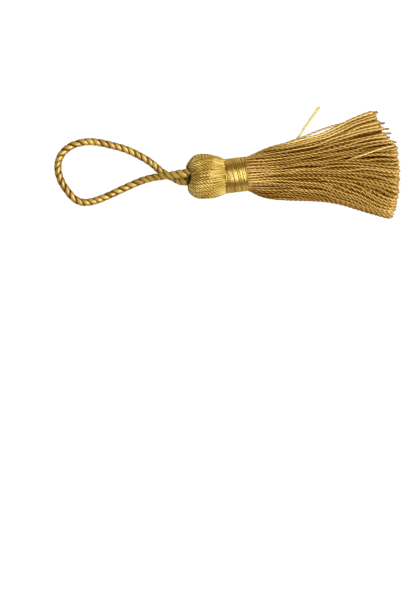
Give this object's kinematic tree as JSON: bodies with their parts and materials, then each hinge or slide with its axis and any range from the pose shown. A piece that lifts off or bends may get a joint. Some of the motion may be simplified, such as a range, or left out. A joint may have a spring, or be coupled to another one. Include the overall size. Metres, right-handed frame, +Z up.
{
  "type": "silk tassel with hanging loop",
  "caption": "Soft gold yarn tassel lying flat: turned-over head, floss neck binding, fanned skirt of three-ply yarns and a doubled two-ply cord as hanging loop.",
  "frame": {"origin": "on the supporting surface, under the middle of the skirt's flat underside", "axes": "+X along the tassel from the hanging loop to the cut end of the skirt, +Y to its left side, +Z up from the surface"},
  "size_m": [0.1308, 0.0442, 0.0166],
  "materials": {
    "skein_yarn": "satin three-ply yarn",
    "binding_floss": "glossy flat floss",
    "cord_ply": "satin two-ply cord",
    "stray_end": "opened yarn, paler than the skein"
  },
  "bodies": {
    "root": {"skein": "skein_yarn", "neck_binding": "binding_floss", "hanging_cord": "cord_ply", "stray_yarn": "stray_end"}
  },
  "joints": []
}
